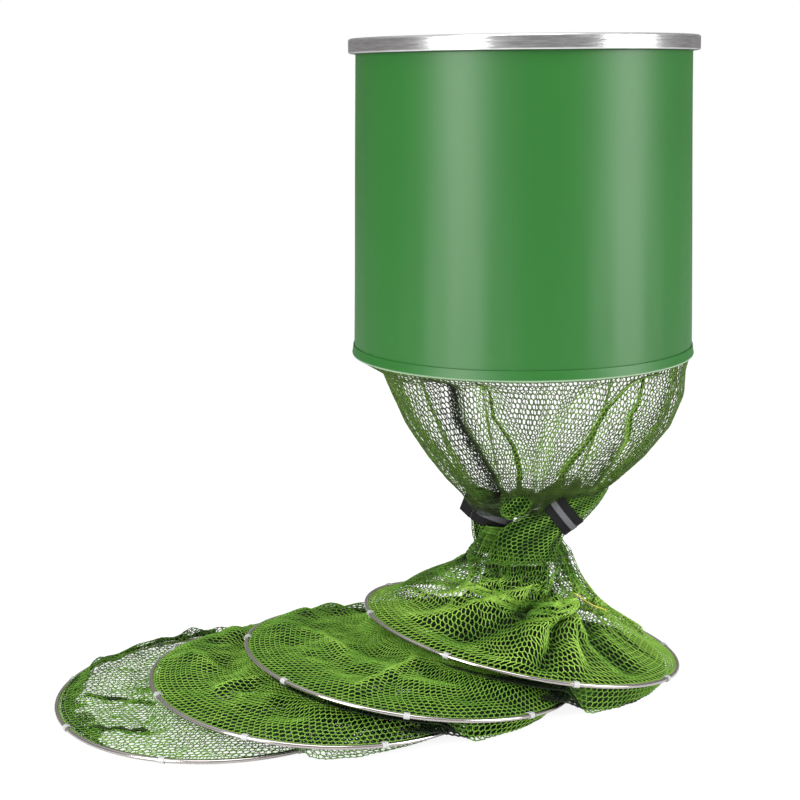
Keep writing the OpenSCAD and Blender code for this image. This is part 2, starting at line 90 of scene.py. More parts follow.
def make_camera():
    data = bpy.data.cameras.new("camera")
    data.sensor_width = SENSOR
    data.lens = LENS
    camera = placed("camera", data)
    turn = Matrix.Rotation(math.radians(90 - CAMERA_DOWN), 4, "X")
    roll = Matrix.Rotation(math.radians(CAMERA_ROLL), 4, "Z")
    camera.matrix_world = Matrix.Translation(CAMERA_AT) @ turn @ roll
    bpy.context.scene.camera = camera


make_camera()

# ---------- numbers


def smooth(x):
    c = np.clip(x, 0, 1)
    return c * c * (3 - 2 * c)


def mix(a, b, t):
    return a + (b - a) * t


def bearing(deg):
    """Unit vectors in plan, with a last axis of 3."""
    r = np.radians(deg)
    return np.stack([np.cos(r), np.sin(r), np.zeros_like(r)], -1)


def facing(deg, towards, start, width):
    """1 on the side that faces a bearing, and 0 away from it."""
    return smooth((np.cos(np.radians(deg - towards)) - start) / width)


def turned(deg, base):
    """The turn from base to deg, -180 to 180."""
    return (deg - base + 180) % 360 - 180


class Ring:
    """One ring's plane, from its place in RING_PLACES."""

    def __init__(self, x, y, lean, side):
        self.side = math.radians(side)
        self.lean = math.radians(lean)
        self.centre = np.array([x, y, RING_R * math.sin(self.lean) + RING_REST_Z])

    def point(self, deg, radius, up=0.0):
        """Points of the ring's own circle of that radius, raised square to its plane."""
        r = np.radians(deg)
        u = radius * np.cos(r - self.side)
        w = radius * np.sin(r - self.side)
        a = u * math.cos(self.lean) + up * math.sin(self.lean)
        h = -u * math.sin(self.lean) + up * math.cos(self.lean)
        c, s = math.cos(self.side), math.sin(self.side)
        return self.centre + np.stack([a * c - w * s, a * s + w * c, h], -1)

    def height(self, p):
        """Height of the ring's plane over points in plan."""
        q = p - self.centre
        along = q[..., 0] * math.cos(self.side) + q[..., 1] * math.sin(self.side)
        return self.centre[2] - along * math.tan(self.lean)

    def away(self, p):
        """Distance in plan from the ring's centre."""
        q = p - self.centre
        return np.hypot(q[..., 0], q[..., 1])


RINGS = [Ring(*place) for place in RING_PLACES]


class Waves:
    """Smooth seeded unevenness over plan coordinates, about -1 to 1."""

    def __init__(self, seed, shortest, longest, count=9):
        rng = np.random.default_rng(seed)
        self.k = 2 * math.pi / rng.uniform(shortest, longest, count)
        self.turn = rng.uniform(0, 2 * math.pi, count)
        self.phase = rng.uniform(0, 2 * math.pi, count)

    def __call__(self, x, y):
        total = 0
        for k, turn, phase in zip(self.k, self.turn, self.phase):
            total = total + np.sin(k * (x * math.cos(turn) + y * math.sin(turn)) + phase)
        return total / math.sqrt(len(self.k)) * 0.8


def ridge(p, start, end, width):
    """1 on the line from start to end in plan, falling away over width on both sides."""
    s, e = np.array(start), np.array(end)
    d = e - s
    t = np.clip(((p[..., 0] - s[0]) * d[0] + (p[..., 1] - s[1]) * d[1]) / (d @ d), 0, 1)
    off = np.hypot(p[..., 0] - s[0] - t * d[0], p[..., 1] - s[1] - t * d[1])
    return np.exp(-((off / width) ** 2))


def folds(deg, t, lines):
    """Outward push of folds that run up a sheet, from a list of (t, deg, half width, push)."""
    total = 0 * deg
    for places, bearings, width, push in lines:
        off = turned(deg, np.interp(t, places, bearings))
        run = 0.5 * (places[-1] - places[0]) + 0.02
        middle = 0.5 * (places[-1] + places[0])
        ends = smooth((run - np.abs(t - middle)) / 0.08)
        total = total + push * ends * np.exp(-((off / width) ** 2))
    return total


def with_painted_light(p, painted_light):
    """The sheet's points with its painted light and shade as a fourth value."""
    return np.concatenate([p, np.broadcast_to(painted_light, p.shape[:-1])[..., None]], -1)


# ---------- meshes


def object_from(name, points, faces, groups=None):
    """An object from an array of points and a list of face arrays, one per corner count."""
    mesh = bpy.data.meshes.new(name)
    mesh.vertices.add(len(points))
    mesh.vertices.foreach_set("co", np.asarray(points, np.float32).ravel())
    corners = np.concatenate([f.ravel() for f in faces]).astype(np.int32)
    sizes = np.concatenate([np.full(len(f), f.shape[1]) for f in faces])
    starts = np.concatenate([[0], np.cumsum(sizes)[:-1]]).astype(np.int32)
    mesh.loops.add(len(corners))
    mesh.loops.foreach_set("vertex_index", corners)
    mesh.polygons.add(len(sizes))
    mesh.polygons.foreach_set("loop_start", starts)
    mesh.polygons.foreach_set("use_smooth", np.ones(len(sizes), bool))
    for key, values in (groups or {}).items():
        layer = mesh.attributes.new(key, "FLOAT", "POINT")
        layer.data.foreach_set("value", np.asarray(values, np.float32))
    mesh.update(calc_edges=True)
    mesh.validate()
    return placed(name, mesh)


def unit(v):
    return v / np.maximum(np.linalg.norm(v, axis=-1, keepdims=True), 1e-9)


# How far strands run into each other at a crossing, in radii.
OVERLAP = 0.35


def strands(a, b, normal_a, normal_b, radius):
    """Three-sided closed strands from points a to points b: points, quads and triangles."""
    along = unit(b - a)
    rings = []
    for p, n, push in ((a, normal_a, -1), (b, normal_b, 1)):
        side = unit(np.cross(n, along))
        up = unit(np.cross(along, side))
        p = p + along * (push * OVERLAP * radius[:, None])
        for turn in (90, 210, 330):
            t = math.radians(turn)
            rings.append(p + radius[:, None] * (math.cos(t) * side + math.sin(t) * up))
    points = np.stack(rings, 1).reshape(-1, 3)
    base = np.arange(len(a))[:, None] * 6
    quads = np.concatenate([base + np.array([[k, (k + 1) % 3, 3 + (k + 1) % 3, 3 + k]]) for k in range(3)])
    caps = np.concatenate([base + np.array([[2, 1, 0]]), base + np.array([[3, 4, 5]])])
    return points, quads, caps


# Samples up a sheet, and the shortest strand that is drawn.
FINE_T = 97
SHORTEST_STRAND = 0.0004
# The height of a row of six-sided mesh over its pitch.
ROW_SHARE = 0.866


def zigzag(i, j):
    """How far each point of the grid stands off its row, in rows."""
    return np.where((i + j) % 2 == 0, 1 / 6, -1 / 6)


def cell_edges(i, j, closed):
    """Pairs of the grid's points that strands join: along the zigzags, and between them."""
    index = np.arange(i.size * j.size).reshape(i.size, j.size)
    start, end = (index, np.roll(index, -1, 0)) if closed else (index[:-1], index[1:])
    zags = np.stack([start.ravel(), end.ravel()], 1)
    even_ones = ((i + j) % 2 == 0)[:, :-1]
    links = np.stack([index[:, :-1][even_ones], index[:, 1:][even_ones]], 1)
    return np.concatenate([zags, links])


def sheet_grid(sheet, columns, samples, closed=True, even=True):
    """The sheet's points and painted light on a grid whose columns are evenly spaced round each row."""
    u = np.linspace(0, 1, samples + 1)
    t = np.linspace(0, 1, FINE_T)
    fine = sheet(u[:, None] * np.ones_like(t), t[None] * np.ones((samples + 1, 1)))
    want = np.linspace(0, 1, columns + 1)
    out = np.empty((columns + 1, FINE_T, 4))
    for j in range(FINE_T):
        row = fine[:, j]
        if even:
            steps = np.linalg.norm(np.diff(row[:, :3], axis=0), axis=1)
            s = np.concatenate([[0], np.cumsum(steps)])
            s = s / s[-1]
        else:
            s = u
        for axis in range(4):
            out[:, j, axis] = np.interp(want, s, row[:, axis])
    return out[:-1] if closed else out


def net(name, sheet, cells, row, radius, samples=720, closed=True, even=True, rows=None, drawn=None):
    """A net of six-sided mesh over sheet(u, t): cells round it and rows of height row up it.
    drawn(t) is the share of their radius that the strands keep where the net is gathered."""
    columns = 2 * cells
    grid = sheet_grid(sheet, columns, samples, closed, even)
    count = len(grid)
    lengths = np.linalg.norm(np.diff(grid[..., :3], axis=1), axis=2)
    run = np.concatenate([np.zeros((count, 1)), np.cumsum(lengths, 1)], 1)
    rows = rows or max(3, round(float(run[:, -1].mean()) / row))
    i = np.arange(count)[:, None]
    j = np.arange(rows + 1)[None]
    share = np.clip((j + zigzag(i, j)) / rows, 0, 1)
    points = np.empty((count, rows + 1, 4))
    t_fine = np.linspace(0, 1, FINE_T)
    t_at = np.empty((count, rows + 1))
    for c in range(count):
        t_at[c] = np.interp(share[c] * run[c, -1], run[c], t_fine)
        for axis in range(4):
            points[c, :, axis] = np.interp(t_at[c], t_fine, grid[c, :, axis])
    # The fourth value is painted light and shade, kept on the strands for the net material.
    painted_light = points[..., 3].ravel()
    points = points[..., :3]
    if closed:
        across = np.roll(points, -1, 0) - np.roll(points, 1, 0)
    else:
        across = np.gradient(points, axis=0)
    normal = unit(np.cross(across, np.gradient(points, axis=1)))
    flat = points.reshape(-1, 3)
    normals = normal.reshape(-1, 3)
    a, b = cell_edges(i, j, closed).T
    long_enough = np.linalg.norm(flat[a] - flat[b], axis=1) > SHORTEST_STRAND
    a, b = a[long_enough], b[long_enough]
    thick = np.full(len(a), radius)
    if drawn:
        thick = thick * drawn((t_at.ravel()[a] + t_at.ravel()[b]) / 2)
    made = strands(flat[a], flat[b], normals[a], normals[b], thick)
    shares = np.repeat(np.stack([t_at.ravel()[a], t_at.ravel()[b]], 1), 3, axis=1).ravel()
    painted_lights = np.repeat(np.stack([painted_light[a], painted_light[b]], 1), 3, axis=1).ravel()
    return object_from(name, made[0], made[1:], {"along": shares, "painted_light": painted_lights})


def closed_quads(index):
    """Four-sided faces over a grid that closes on itself along its first axis."""
    after = np.roll(index, -1, 0)
    return np.stack([index[:, :-1], after[:, :-1], after[:, 1:], index[:, 1:]], -1).reshape(-1, 4)


def closed_skin(name, sheet, columns, rows):
    """A closed solid skin over a sheet, with both ends filled by fans."""
    u = np.arange(columns) / columns
    t = np.linspace(0, 1, rows + 1)
    grid = sheet(u[:, None] * np.ones_like(t), t[None] * np.ones((columns, 1)))[..., :3]
    points = np.concatenate([grid.reshape(-1, 3), grid[:, 0].mean(0)[None], grid[:, -1].mean(0)[None]])
    index = np.arange(columns * (rows + 1)).reshape(columns, rows + 1)
    after = np.roll(index, -1, 0)
    quads = closed_quads(index)
    first, last = len(points) - 2, len(points) - 1
    fans = np.concatenate([
        np.stack([np.full(columns, first), after[:, 0], index[:, 0]], 1),
        np.stack([np.full(columns, last), index[:, -1], after[:, -1]], 1)])
    along = np.concatenate([np.tile(t, columns), [0, 1]])
    return object_from(name, points, [quads, fans], {"along": along})


def stretches(obj, lower, upper, share=None):
    """obj is net from one body to the next: its placing is baked into its points and each point's share of
    the net's length is read.
    """
    zs = np.array([v.co.z for v in obj.data.vertices])
    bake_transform(obj)
    along = np.zeros(len(zs), np.float32)
    obj.data.attributes["along"].data.foreach_get("value", along)
    along if share is None else share(along)


# ---------- materials


def shader(name, colour, roughness, metallic=0.0, specular=0.5):
    """A new node material, its tree and its shader node."""
    material = bpy.data.materials.new(name)
    material.use_nodes = True
    tree = material.node_tree
    surface = tree.nodes["Principled BSDF"]
    surface.inputs["Base Color"].default_value = (*colour, 1)
    surface.inputs["Roughness"].default_value = roughness
    surface.inputs["Metallic"].default_value = metallic
    surface.inputs["Specular IOR Level"].default_value = specular
    return material, tree, surface


def node(tree, kind, **values):
    """A node with named inputs and properties set."""
    made = tree.nodes.new(kind)
    for key, value in values.items():
        if key in made.inputs:
            made.inputs[key].default_value = value
        else:
            setattr(made, key, value)
    return made


def noise(tree, scale, detail=3.0, roughness=0.5, stretch=(1, 1, 1)):
    """Noise over object coordinates, stretched along the axes."""
    place = tree.nodes.new("ShaderNodeTexCoord")
    mapping = node(tree, "ShaderNodeMapping", Scale=stretch)
    tree.links.new(place.outputs["Object"], mapping.inputs["Vector"])
    made = node(tree, "ShaderNodeTexNoise", Scale=scale, Detail=detail, Roughness=roughness)
    tree.links.new(mapping.outputs["Vector"], made.inputs["Vector"])
    return made.outputs["Fac"]


def ramp(tree, fac, stops):
    """A colour ramp over fac, from a list of (place, colour)."""
    made = tree.nodes.new("ShaderNodeValToRGB")
    elements = made.color_ramp.elements
    while len(elements) < len(stops):
        elements.new(0.5)
    for element, (at, colour) in zip(elements, stops):
        element.position = at
        element.color = (*colour, 1)
    tree.links.new(fac, made.inputs["Fac"])
    return made.outputs["Color"]


def paint(tree, surface, fac, stops):
    """The base colour from a ramp over fac."""
    tree.links.new(ramp(tree, fac, stops), surface.inputs["Base Color"])


def mixed(tree, *sources):
    """Two shaders mixed, from a factor's output and theirs."""
    made = tree.nodes.new("ShaderNodeMixShader")
    for source, into in zip(sources, made.inputs):
        tree.links.new(source, into)
    return made.outputs[0]


def bump(tree, surface, height, strength, distance):
    made = node(tree, "ShaderNodeBump", Strength=strength, Distance=distance)
    tree.links.new(height, made.inputs["Height"])
    tree.links.new(made.outputs["Normal"], surface.inputs["Normal"])


def scaled(colour, by):
    return tuple(c * by for c in colour)


def net_material(name, deep, plain, bright):
    """Twisted multifilament: the painted light value runs from deep, a painted shade, through plain to
    bright, a painted highlight, with fine unevenness.
    """
    material, tree, surface = shader(name, plain, 0.5, specular=0.35)
    painted_light = node(tree, "ShaderNodeAttribute", attribute_name="painted_light")
    uneven = noise(tree, 60.0, 2.0)
    spread = node(tree, "ShaderNodeMath", operation="MULTIPLY_ADD")
    spread.inputs[1].default_value = 0.5
    tree.links.new(uneven, spread.inputs[0])
    tree.links.new(painted_light.outputs["Fac"], spread.inputs[2])
    shift = node(tree, "ShaderNodeMath", operation="SUBTRACT")
    shift.inputs[1].default_value = 0.25
    tree.links.new(spread.outputs[0], shift.inputs[0])
    paint(tree, surface, shift.outputs[0], [(0.0, deep), (0.5, plain), (1.0, bright)])
    bump(tree, surface, noise(tree, 900.0, 2.0), 0.5, 0.0003)
    return material


def clothes(obj, material, slot):
    obj.data.materials.clear()
    obj.data.materials.append(material)
    return obj


def dress(node_name, material):
    """Gives a frame node its material on its own object's slots."""
    obj = nodes_of_frame[node_name]
    while len(obj.material_slots) < 1:
        obj.data.materials.append(None)
    for place in obj.material_slots:
        place.link = "OBJECT"
        place.material = material


# Greens of the painted light ramp: deep, plain and bright. Deep stands for painted shade and bright for
# painted highlight.
BASKET_GREEN = [(0.004, 0.013, 0.002), (0.128, 0.300, 0.028), (0.34, 0.58, 0.08)]
# The neck net's greens are the basket net's greens darkened: painted shade for net seen against the light.
SHADED_NECK_GREEN = [(0.008, 0.014, 0.005), (0.085, 0.155, 0.028), (0.21, 0.40, 0.045)]


def brushed(name, colour, roughness, stretch, scale=40.0, depth=0.25):
    """Metal with fine streaks."""
    material, tree, surface = shader(name, colour, roughness, 1.0)
    streaks = noise(tree, scale, 4.0, 0.6, stretch)
    paint(tree, surface, streaks, [(0.3, scaled(colour, 1 - depth)), (0.7, colour)])
    rough = node(tree, "ShaderNodeMapRange")
    rough.inputs["To Min"].default_value = roughness * 0.7
    rough.inputs["To Max"].default_value = min(1.0, roughness * 1.4)
    tree.links.new(streaks, rough.inputs["Value"])
    tree.links.new(rough.outputs["Result"], surface.inputs["Roughness"])
    bump(tree, surface, streaks, 0.15, 0.0004)
    return material


COATED_GREEN = (0.0105, 0.114, 0.0110)


def coated_fabric(name):
    """Smooth coated cloth with a faint weave under the coat and soft unevenness."""
    material, tree, surface = shader(name, COATED_GREEN, 0.43)
    stops = [(0.3, scaled(COATED_GREEN, 0.94)), (0.7, scaled(COATED_GREEN, 1.05))]
    paint(tree, surface, noise(tree, 5.0, 2.0), stops)
    bump(tree, surface, noise(tree, 700.0, 2.0), 0.05, 0.0002)
    return material


def webbing(name, colour, lighter):
    """Woven tape: a fine grain in the bump, with the raised yarn a little lighter."""
    material, tree, surface = shader(name, colour, 0.75, specular=0.2)
    grain = noise(tree, 800.0, 3.0)
    paint(tree, surface, grain, [(0.35, colour), (0.75, lighter)])
    bump(tree, surface, grain, 0.6, 0.0004)
    return material


TAPE_HALF = 0.0045


def edged_tape(name):
    """The sleeve's own cloth, folded round the hoop, paler along its lowest edge."""
    material, tree, surface = shader(name, COATED_GREEN, 0.45)
    place = tree.nodes.new("ShaderNodeTexCoord")
    apart = tree.nodes.new("ShaderNodeSeparateXYZ")
    tree.links.new(place.outputs["Object"], apart.inputs["Vector"])
    height = node(tree, "ShaderNodeMapRange")
    height.inputs["From Min"].default_value = HEM_Z - TAPE_HALF
    height.inputs["From Max"].default_value = HEM_Z + TAPE_HALF
    tree.links.new(apart.outputs["Z"], height.inputs["Value"])
    pale_foot = [(0.0, (0.30, 0.42, 0.28)), (0.38, (0.26, 0.38, 0.24))]
    stops = pale_foot + [(0.5, COATED_GREEN), (1.0, COATED_GREEN)]
    paint(tree, surface, height.outputs["Result"], stops)
    bump(tree, surface, noise(tree, 500.0, 2.0), 0.2, 0.0003)
    return material


def plain_material(name, colour, roughness, scale=90.0, vary=0.12, specular=0.5):
    """Even material with slight mottling in colour and surface."""
    material, tree, surface = shader(name, colour, roughness, specular=specular)
    mottle = noise(tree, scale, 3.0)
    paint(tree, surface, mottle, [(0.3, scaled(colour, 1 - vary)), (0.7, scaled(colour, 1 + vary))])
    bump(tree, surface, mottle, 0.1, 0.0003)
    return material


# Each slot's maker, with what it takes after the material's name.
MADE_BY = {
    "rim_aluminium": (brushed, (0.86, 0.86, 0.87), 0.22, (1, 1, 14)),
    "liner_aluminium": (brushed, (0.66, 0.67, 0.68), 0.35, (1, 1, 6)),
    "rivet_steel": (brushed, (0.62, 0.63, 0.64), 0.3, (1, 1, 1), 300.0),
    "gasket_rubber": (plain_material, (0.012, 0.02, 0.012), 0.6),
    "coated_fabric": (coated_fabric,),
    "hoop_wire": (brushed, (0.50, 0.52, 0.50), 0.3, (1, 1, 1), 200.0),
    "hem_tape": (edged_tape,),
    "strap_webbing": (webbing, (0.004, 0.004, 0.0045), (0.012, 0.012, 0.013)),
    "stripe_webbing": (webbing, (0.09, 0.092, 0.10), (0.17, 0.172, 0.18)),
    "ring_wire": (brushed, (0.55, 0.51, 0.49), 0.12, (1, 1, 1), 120.0, 0.12),
    "lacing_cord": (webbing, (0.30, 0.48, 0.12), (0.48, 0.62, 0.25)),
    "clip_plastic": (plain_material, (0.45, 0.46, 0.45), 0.35, 120.0, 0.05),
}
MATERIAL_OF_SLOT = {slot: maker(slot, *given) for slot, (maker, *given) in MADE_BY.items()}
edge_cord = webbing("edge_cord", (0.52, 0.46, 0.04), (0.70, 0.64, 0.12))
basket_net = net_material("basket_net", *BASKET_GREEN)
BASKET_LOOK = (basket_net, "basket_net")
SHADED_NECK_LOOK = (net_material("neck_net", *SHADED_NECK_GREEN), "neck_net")

slot_of = {part["node"]: part["material_slot"] for part in frame["record"]["subparts"]}
for name, slot in slot_of.items():
    if slot in MATERIAL_OF_SLOT:
        dress(name, MATERIAL_OF_SLOT[slot])


def joining_net(name, sheet, cells, row, radius, look, bodies, share=None, **how):
    """A net from one body to the next, with its look: a material and a slot, the slot not used."""
    made = clothes(net(name, sheet, cells, row, radius, **how), *look)
    stretches(made, *bodies, share=share)
    return made


# ---------- basket nets

# The cut sizes of the nets.
NET_ROUND = 2 * math.pi * LACING_R
LOWER_CUT = 0.210

# How deep a section tucks in under its upper ring, how far inside that ring's lacing it turns,
# the share of it that climbs back to the lacing, and how far edges stand off a lacing.
TUCK = 0.090
INSIDE = 0.012
CLIMB = 2 / 9
EDGE_UP = 0.0012
# Cells round a ring, the height of a row, and the height of net that lies on the ground.
CELLS_ROUND = 158
ROW = MESH_PITCH * ROW_SHARE
GROUND = 0.0013


def heaped(deg):
    """1 along the back of the rings, where the net is heaped, and 0 in front."""
    return facing(deg, 122, 0.30, 0.5)


class Section:
    """The net between two rings: a low dome inwards from the lower ring's lacing, a tuck in
    under the upper ring, then out and up to the upper ring's lacing from beneath."""

    def __init__(self, low, high, seed, dome, bright, ruffle, ridges):
        self.low, self.high, self.dome, self.bright = low, high, dome, bright
        self.ruffle, self.ridges = ruffle, ridges
        self.wide = Waves(seed, 0.05, 0.11)
        self.fine = Waves(seed + 50, 0.018, 0.035)

    def laid(self, deg, s):
        """The dome and the tuck, the height under them, their painted light and shade, and 1 where
        they lie past the lower ring. s runs from 0 to 1 inwards."""
        out = bearing(deg)
        a = self.low.point(deg, LACING_R, EDGE_UP)
        foot = self.high.point(deg, LACING_R, -EDGE_UP) - INSIDE * out
        p = mix(a, foot, s[..., None]) - out * (TUCK * np.sin(math.pi * s))[..., None]
        low_z = self.low.height(p)
        gap = self.high.height(p) - low_z
        leave = np.minimum(1, 7 * s)
        packed = leave * mix(0.42, 0.86, s) * gap
        domed = self.dome * (1 - (1 - np.minimum(1, s / 0.35)) ** 2)
        under = smooth((RING_R + 0.012 - self.high.away(p)) / 0.024)
        lift = mix(np.minimum(domed, packed), packed, under)
        bare = leave * (1 - 0.75 * under) * smooth((1 - s) / 0.15)
        rough = 0.0035 * self.wide(p[..., 0], p[..., 1]) + 0.0012 * self.fine(p[..., 0], p[..., 1])
        heap = self.ruffle * heaped(deg) * np.exp(-(((s - 0.09) / 0.07) ** 2))
        heap = heap * (1 + 0.3 * self.fine(p[..., 0] * 0.6, p[..., 1] * 0.6))
        lift = lift + bare * rough + heap
        crest = 0 * s
        for start, end, width, height in self.ridges:
            crest = crest + bare * height * ridge(p, start, end, width)
        at_tie = (1 - leave) * (a[..., 2] - self.low.height(a))
        sink = smooth((self.low.away(p) - RING_R - 0.006) / 0.025)
        floor_z = GROUND + 0.0005 * (1 + self.fine(p[..., 1], p[..., 0]))
        z = mix(low_z + at_tie + lift + crest, floor_z, sink)
        p[..., 2] = np.maximum(z, floor_z)
        # Painted light and shade: crests and bumps of bare net painted lighter as painted highlight, the
        # heap painted darker as painted shade.
        shade = self.bright + 28 * crest + 9 * rough * bare - 16 * heap
        return p, np.maximum(low_z, floor_z), shade, sink

    def __call__(self, u, t):
        deg = 360 * u
        s = np.minimum(1, t / (1 - CLIMB))
        climb = np.maximum(0, (t - 1 + CLIMB) / CLIMB)
        p, _, shade, sink = self.laid(deg, s)
        p = mix(p, self.high.point(deg, LACING_R, -EDGE_UP), climb[..., None])
        # Past the middle of the tuck the net is painted dark as painted shade, except where it lies on the
        # ground past the lower ring.
        return with_painted_light(p, mix(shade, 0.02, smooth((s - 0.42) / 0.3) * (1 - sink)))

    def slack(self, u, t):
        """The spare net, folded back once under the dome, painted in the deepest green as painted shade."""
        p, under, _, _ = self.laid(360 * u, 0.01 + 0.99 * np.abs(2 * t - 1))
        p[..., 2] = np.maximum(under, mix(under, p[..., 2], 0.7 - 0.45 * t))
        return with_painted_light(p, 0.0)

    def margin(self, u, t):
        """The spare net, heaped in small folds along the left and back of the lower ring; the turns next to
        the ring are painted darker than the far turns, as painted shade.
        """
        deg = 360 * u
        side = facing(deg, 160, 0.25, 0.3)
        wave = 1 + 0.5 * self.fine(0.12 * np.cos(np.radians(deg)), 0.12 * np.sin(np.radians(deg)))
        swing = 0.5 - 0.5 * np.cos(8 * math.pi * t)
        p, under, _, _ = self.laid(deg, side * (0.005 + 0.07 * wave * swing * (0.4 + 0.6 * t)))
        p[..., 2] = np.maximum(under, p[..., 2] - 0.0015 * t)
        return with_painted_light(p, mix(0.02, 0.25, swing))


def folded_share(along):
    """The slack follows the net that it lies under."""
    return (1 - CLIMB) * np.abs(2 * along - 1)


def margin_share(along):
    return 0.1 * along


# Folds of the lowest section that lie on the base net: both ends in plan and the sway.
FLAT_FOLDS = [((-0.168, -0.006), (-0.080, -0.036), 0.0015), ((-0.143, -0.104), (-0.072, -0.118), 0.0035)]
STRIP_HALF = 0.0042


def flat_folds(bodies):
    """Narrow strips of net, folded three times over themselves, painted dark as painted shade."""
    made = []
    for number, (start, end, sway) in enumerate(FLAT_FOLDS, 1):
        def strip(u, t):
            run = np.array(end) - np.array(start)
            side = np.array([-run[1], run[0]]) / np.hypot(*run)
            wander = sway * np.sin(17 * u) * (1 + 0.4 * np.sin(41 * u))
            across = STRIP_HALF * np.cos(3 * math.pi * t) + wander
            p = np.empty(u.shape + (3,))
            p[..., :2] = np.array(start) + run * u[..., None] + side * across[..., None]
            p[..., 2] = GROUND + 0.002 + 0.003 * t
            return with_painted_light(p, 0.08)

        made.append(joining_net(f"net_section_3_fold_{number}", strip, 17, 0.004, FINE_STRAND * 1.2,
            BASKET_LOOK, bodies, lambda along: 0.02 + 0 * along, closed=False, even=False))
    return made


# How much thicker the spare nets' strands are, where they fill what shows between the rings.
SLACK_THICKER = 1.45
SLACK_ROWS = 50
# Name, upper and lower ring, seed, dome, base level of painted light, heap, radius of the strands, ridges,
# bodies.
SECTIONS = [
    ("net_section_1", 0, 1, 11, 0.015, 0.58, 0.010, STRAND,
        [((0.233, -0.047), (0.162, -0.136), 0.009, 0.008), ((0.120, 0.030), (0.150, -0.040), 0.01, 0.005)],
        ["basket_ring_2", "basket_ring_1"]),
    ("net_section_2", 1, 2, 12, 0.015, 0.62, 0.010, STRAND,
        [((0.053, -0.064), (0.008, -0.088), 0.009, 0.008), ((-0.04, 0.02), (0.0, -0.03), 0.010, 0.005)],
        ["basket_ring_3", "basket_ring_2"]),
    ("net_section_3", 2, 3, 13, 0.006, 0.50, 0.017, FINE_STRAND,
        [((-0.163, -0.009), (-0.085, -0.035), 0.005, -0.004),
            ((-0.139, -0.104), (-0.076, -0.118), 0.005, -0.004)],
        ["basket_base", "basket_ring_3"]),
]

for name, high, low, seed, dome, bright, ruffle, strand, ridges, bodies in SECTIONS:
    section = Section(RINGS[low], RINGS[high], seed, dome, bright, ruffle, ridges)
    made = joining_net(name + "_mesh", section, CELLS_ROUND, ROW, strand, BASKET_LOOK, bodies)
    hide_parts(name)
    if bodies[0] == "basket_base":
        going = [joining_net(name + "_slack", section.margin, CELLS_ROUND, ROW, strand,
            BASKET_LOOK, bodies, margin_share)] + flat_folds(bodies)
    else:
        going = [joining_net(name + "_slack", section.slack, CELLS_ROUND, ROW, strand * SLACK_THICKER,
            BASKET_LOOK, bodies, folded_share, rows=SLACK_ROWS)]


def flat_net(name, radius, pitch, strand):
    """A round flat net of six-sided mesh in plan, cut off at radius."""
    rows = int(radius / (pitch * ROW_SHARE)) + 2
    columns = int(radius / pitch) * 2 + 4
    i = np.arange(-columns, columns + 1)[:, None]
    j = np.arange(-rows, rows + 1)[None]
    x = i * pitch / 2 + 0.0 * j
    y = (j + zigzag(i, j)) * pitch * ROW_SHARE
    p = np.stack([x, y, np.full(x.shape, GROUND)], -1)
    waves = Waves(31, 0.05, 0.12)
    p[..., 2] += 0.0005 * (1 + waves(x, y))
    edges = cell_edges(i, j, closed=False)
    flat = p.reshape(-1, 3)
    inside = np.hypot(flat[:, 0], flat[:, 1]) < radius
    edges = edges[inside[edges].all(1)]
    up = np.tile([0.0, 0.0, 1.0], (len(edges), 1))
    a, b = flat[edges[:, 0]], flat[edges[:, 1]]
    made = strands(a, b, up, up, np.full(len(edges), strand))
    return object_from(name, made[0], made[1:], {"painted_light": np.full(len(made[0]), 0.75)})


base = flat_net("base_net_mesh", LACING_R, MESH_PITCH, FINE_STRAND)
clothes(base, basket_net, "basket_net")
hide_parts("base_net")
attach(base, "basket_base")

# ---------- neck

# The waist: its height, half width and half depth, and its length round.
WAIST_Z = 0.154
WAIST = np.array([0.064, 0.044, 0.0])
WAIST_ROUND = 0.34
# How fast the lower net narrows, and the share of it that reaches the waist.
NARROWS = 1.55
TO_WAIST = 0.88
# Folds that fan out from the right strap: shares up the net, bearings, half width, push.
LOWER_FOLDS = [
    ([0.10, 0.50, 0.75, 0.95], [208, 233, 268, 315], 9, 0.011),
    ([0.03, 0.25, 0.48, 0.73], [258, 268, 278, 326], 6, 0.011),
    ([0.09, 0.29, 0.49, 0.67], [285, 291, 300, 312], 5, 0.012),
    ([0.20, 0.67, 0.88, 0.99], [168, 224, 269, 316], 10, 0.008),
    ([0.06, 0.37, 0.62, 0.84], [233, 251, 273, 315], 7, -0.012),
    ([0.05, 0.27, 0.48, 0.66], [272, 280, 289, 318], 4, -0.010),
    ([0.03, 0.38, 0.44, 0.69], [317, 311, 317, 323], 6, -0.011),
    ([0.14, 0.55, 0.71], [377, 356, 322], 6, 0.008),
    ([0.52, 0.61, 0.70], [267, 269, 273], 10, -0.014),
    ([0.05, 0.40, 0.80], [128, 122, 130], 9, 0.008),
    ([0.05, 0.40, 0.80], [75, 80, 70], 9, 0.008),
    ([0.05, 0.40, 0.80], [36, 42, 40], 8, 0.007)]


# Deep narrow tucks take up the net's width as it narrows: their bearings at the ring.
TUCK_BEARINGS = np.array([12, 38, 62, 86, 110, 134, 158, 182, 206, 228, 250, 272, 294, 318, 340])
STRAP_BEARING = 318


def tucks(deg, r):
    """How far into a tuck each point is, 0 to 1. The front tucks run to the right strap."""
    total = 0 * deg
    for base in TUCK_BEARINGS:
        ahead = turned(base, STRAP_BEARING)
        pull = 0.78 * smooth((135 - abs(ahead)) / 40) * (1 if ahead < 0 else 0.6)
        line = base - ahead * pull * r**1.3
        off = turned(deg, line)
        total = total + np.exp(-((off / 1.5) ** 2))
    return np.minimum(total, 1)


